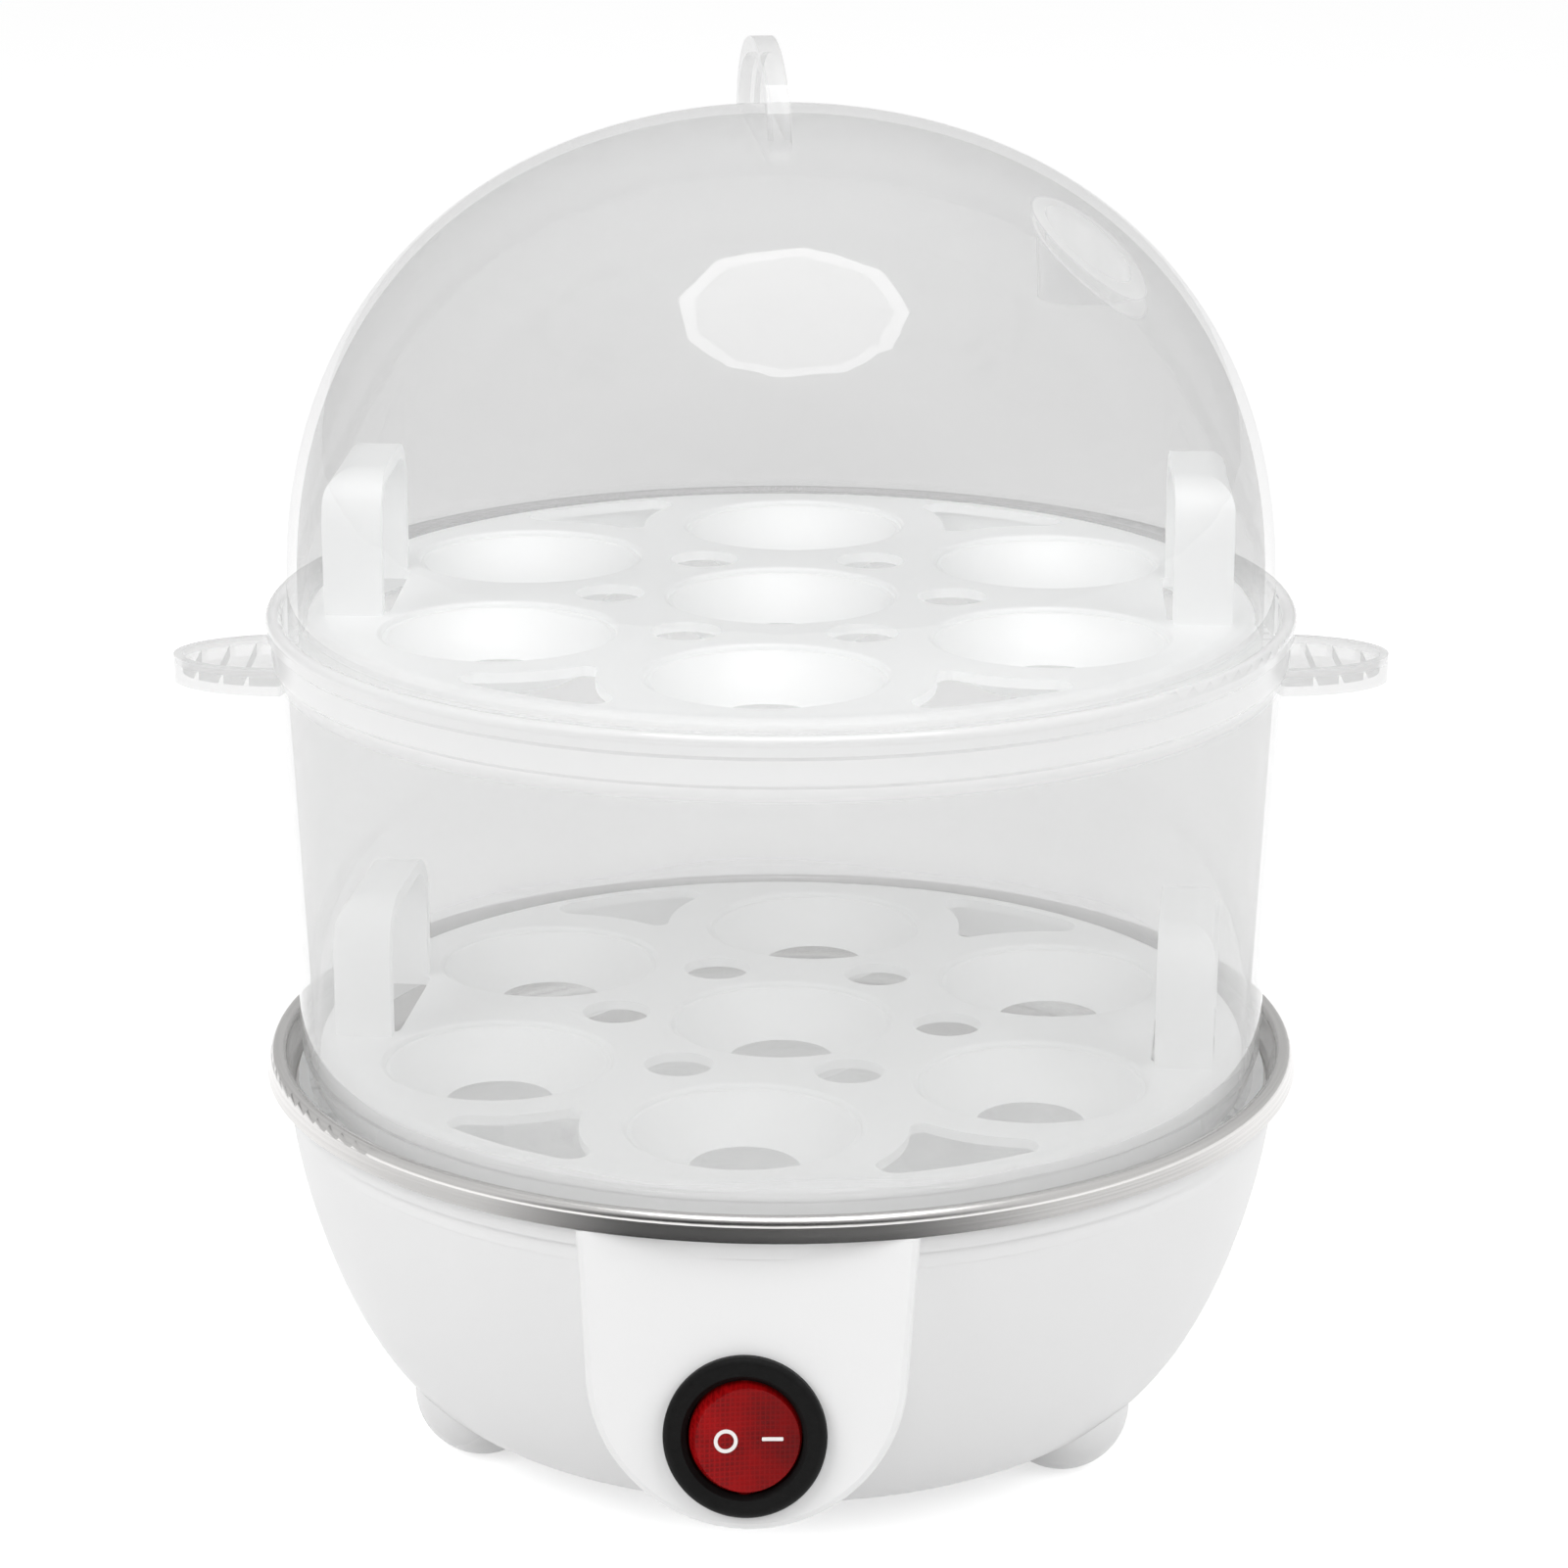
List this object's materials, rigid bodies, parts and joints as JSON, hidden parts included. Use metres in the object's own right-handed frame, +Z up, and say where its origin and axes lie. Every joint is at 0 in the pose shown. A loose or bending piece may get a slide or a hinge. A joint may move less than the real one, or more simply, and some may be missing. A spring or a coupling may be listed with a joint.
{
  "type": "egg cooker",
  "caption": "Round electric egg cooker: white bowl base with rocker switch, steel steaming dish, stacked egg trays, clear ear-handled tier and a domed vented lid.",
  "frame": {"origin": "on the table, under the middle of the cooker's outline seen from above", "axes": "+Z up, the switch faces -Y, the tier's ears point along X"},
  "size_m": [0.1848, 0.1664, 0.2145],
  "materials": {
    "clear_plastic": "clear, glossy",
    "tray_plastic": "white, slightly translucent",
    "tier_plastic": "milky clear, glossy",
    "rim_steel": "brushed and polished stainless steel",
    "base_plastic": "white satin plastic",
    "foot_plastic": "white satin plastic",
    "cover_plastic": "white matte plastic",
    "screw_steel": "plated steel",
    "spacer_metal": "turned",
    "heater_steel": "heat-tinted steel tube",
    "thermostat_body": "brown-black moulded body",
    "bracket_metal": "pressed sheet",
    "fuse_sleeve": "woven glass sleeve",
    "bush_rubber": "white soft plastic",
    "switch_black": "black, fine grain",
    "rocker_red": "translucent red",
    "terminal_brass": "plain brass"
  },
  "bodies": {
    "base": {"heating_plate": "rim_steel", "base_housing": "base_plastic", "foot_rear": "foot_plastic", "foot_front_left": "foot_plastic", "foot_front_right": "foot_plastic", "bottom_cover": "cover_plastic", "cover_screws": "screw_steel", "plate_screws": "screw_steel", "plate_spacers": "spacer_metal", "heating_element": "heater_steel", "thermostat": "thermostat_body", "thermostat_bracket": "bracket_metal", "thermal_fuse": "fuse_sleeve", "cord_bush": "bush_rubber", "switch_housing": "switch_black", "switch_terminals": "terminal_brass"},
    "lower_tray": {"lower_egg_tray": "tray_plastic"},
    "tier": {"steamer_tier": "tier_plastic"},
    "upper_tray": {"upper_egg_tray": "tray_plastic"},
    "lid": {"lid": "clear_plastic"},
    "rocker": {"rocker_button": "rocker_red"}
  },
  "joints": [
    {"name": "lower_tray_lift", "type": "slide", "parent": "base", "child": "lower_tray", "axis": [0, 0, 1], "range_m": [0, 0.03]},
    {"name": "tier_lift", "type": "slide", "parent": "lower_tray", "child": "tier", "axis": [0, 0, 1], "range_m": [0, 0.04]},
    {"name": "upper_tray_lift", "type": "slide", "parent": "tier", "child": "upper_tray", "axis": [0, 0, 1], "range_m": [0, 0.03]},
    {"name": "lid_lift", "type": "slide", "parent": "upper_tray", "child": "lid", "axis": [0, 0, 1], "range_m": [0, 0.04]},
    {"name": "rocker_tilt", "type": "hinge", "parent": "base", "child": "rocker", "pos_m": [0, -0.07835, 0.029], "axis": [0, -0.1736, -0.9848], "range_deg": [0, 20]}
  ]
}
